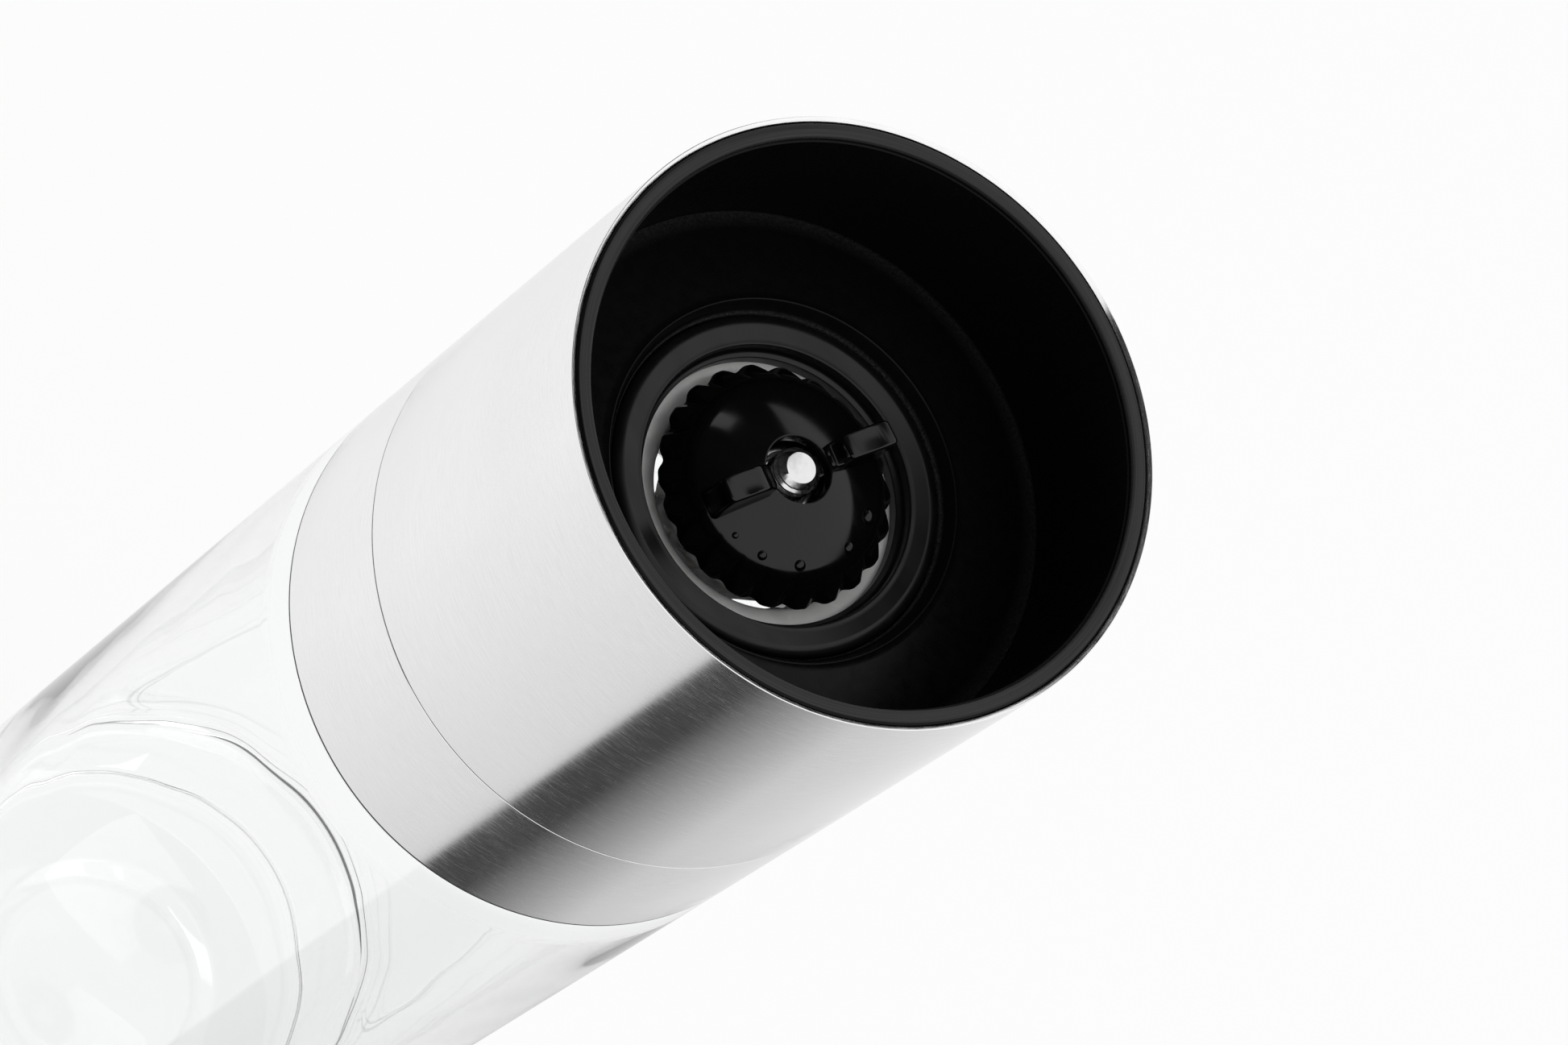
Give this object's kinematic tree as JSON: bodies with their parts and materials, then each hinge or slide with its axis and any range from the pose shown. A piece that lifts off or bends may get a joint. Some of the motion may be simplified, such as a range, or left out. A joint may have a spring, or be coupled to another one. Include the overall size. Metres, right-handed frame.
{
  "type": "pepper mill",
  "caption": "Hand pepper mill with a turning steel head, adjustable ceramic burr grinder and a screw-on clear glass jar.",
  "frame": {"origin": "centre of the jar's underside, on the surface the mill stands on", "axes": "+Z along the mill's axis, from the jar up to the grinder end; the knob's finger wings lie 77 degrees from +X"},
  "size_m": [0.05, 0.05, 0.17],
  "materials": {
    "clear_glass": "clear moulded glass",
    "seal_silicone": "satin",
    "brushed_steel": "brushed round the axis",
    "black_plastic": "satin",
    "bright_steel": "plated",
    "spring_steel": "drawn wire",
    "slip_plastic": "satin",
    "burr_ceramic": "fine ground",
    "gloss_black": "glossy",
    "liner_black": "glossy lip, fine-textured floor"
  },
  "bodies": {
    "jar": {"jar": "clear_glass"},
    "seal": {"neck_seal": "seal_silicone"},
    "collar": {"collar_shell": "brushed_steel", "collar_insert": "black_plastic", "spider_bridge": "black_plastic", "bridge_screws": "bright_steel", "spindle": "bright_steel", "spindle_washer": "bright_steel", "spring_seat": "bright_steel", "rotor_spring": "spring_steel", "slip_ring": "slip_plastic", "snap_ring": "spring_steel"},
    "rotor": {"rotor_burr": "burr_ceramic", "rotor_carrier": "black_plastic", "thrust_washer": "bright_steel"},
    "knob": {"adjuster_knob": "gloss_black", "knob_nut": "bright_steel"},
    "head": {"sleeve_shell": "brushed_steel", "head_liner": "liner_black", "grinder_housing": "gloss_black", "burr_ring": "burr_ceramic", "burr_clamp": "black_plastic", "housing_nut": "black_plastic", "feed_funnel": "black_plastic"}
  },
  "joints": [
    {"name": "collar_rise", "type": "slide", "parent": "jar", "child": "seal", "axis": [0, 0, 1], "range_m": [0, 0.0081]},
    {"name": "collar_unscrew", "type": "hinge", "parent": "seal", "child": "collar", "pos_m": [0, 0, 0.118], "axis": [0, 0, 1], "range_deg": [0, 720]},
    {"name": "head_spin", "type": "hinge", "parent": "collar", "child": "head", "pos_m": [0, 0, 0.134], "axis": [0, 0, 1], "continuous": true},
    {"name": "rotor_slide", "type": "slide", "parent": "collar", "child": "rotor", "axis": [0, 0, 1], "range_m": [-0.0007, 0.0014], "deforming": ["rotor_spring"]},
    {"name": "knob_turn", "type": "hinge", "parent": "rotor", "child": "knob", "pos_m": [0, 0, 0.155], "axis": [0, 0, 1], "range_deg": [-362, 724]}
  ],
  "couplings": [
    {"joint": "collar_rise", "follows": "collar_unscrew", "m_per_rad": 0.00063662},
    {"joint": "knob_turn", "follows": "rotor_slide", "rad_per_m": 8976}
  ]
}
